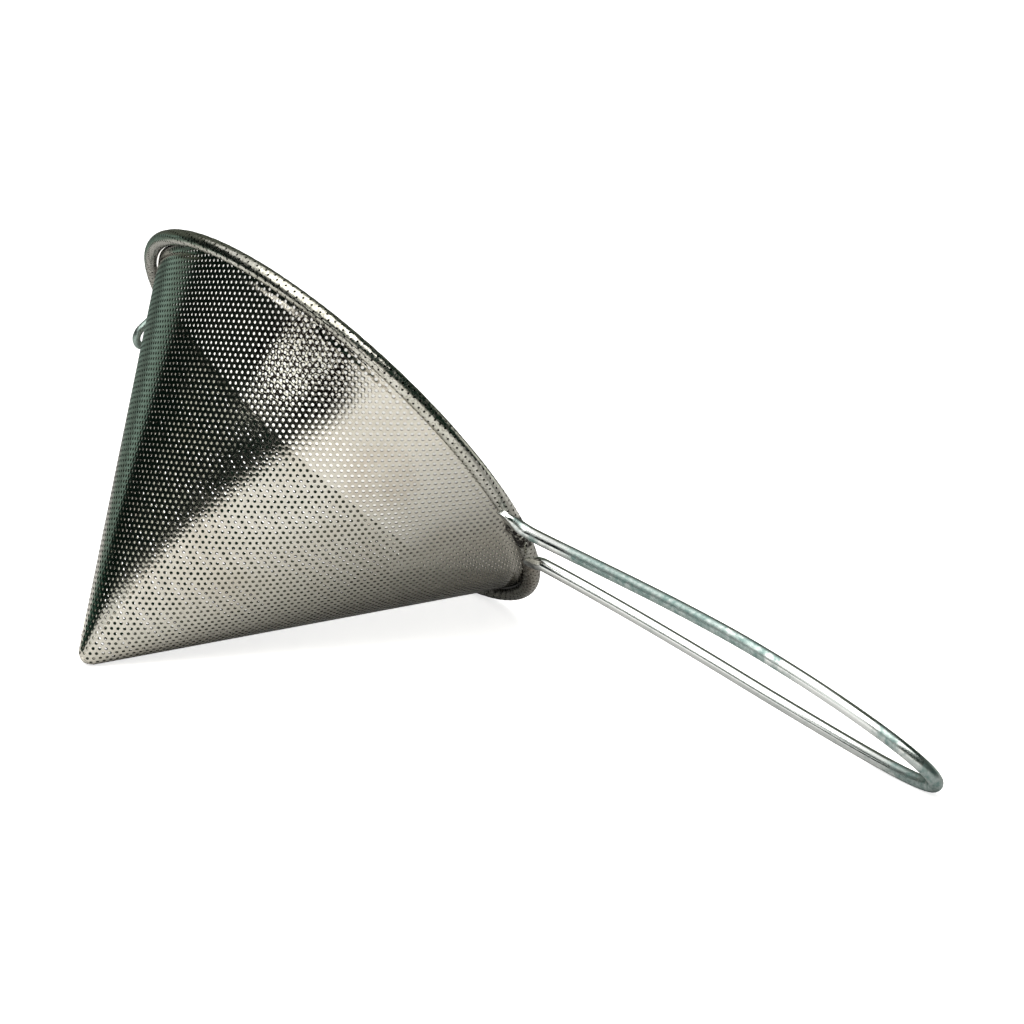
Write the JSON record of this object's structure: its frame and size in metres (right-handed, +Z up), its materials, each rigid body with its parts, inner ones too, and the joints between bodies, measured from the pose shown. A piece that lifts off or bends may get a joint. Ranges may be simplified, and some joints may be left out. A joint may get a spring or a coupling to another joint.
{
  "type": "conical hand strainer",
  "caption": "Pierced steel sheet cone with a rim rolled over a wire, a long wire loop handle and a small wire rest hook, for straining and pressing soft food",
  "frame": {"origin": "under the middle of the strainer's box, on the table it lies on", "axes": "+Z up from the table, +X along the handle seen from above, +Y the way the mouth looks"},
  "size_m": [0.3136, 0.1414, 0.1267],
  "materials": {
    "pierced_steel": "satin pierced sheet, lightly worn",
    "ring_steel": "drawn wire",
    "wire_steel": "polished wire, lightly scratched",
    "hook_steel": "drawn wire, dulled"
  },
  "bodies": {
    "root": {"sieve_cone": "pierced_steel", "rim_wire": "ring_steel", "handle_loop": "wire_steel", "rest_hook": "hook_steel"}
  },
  "joints": []
}
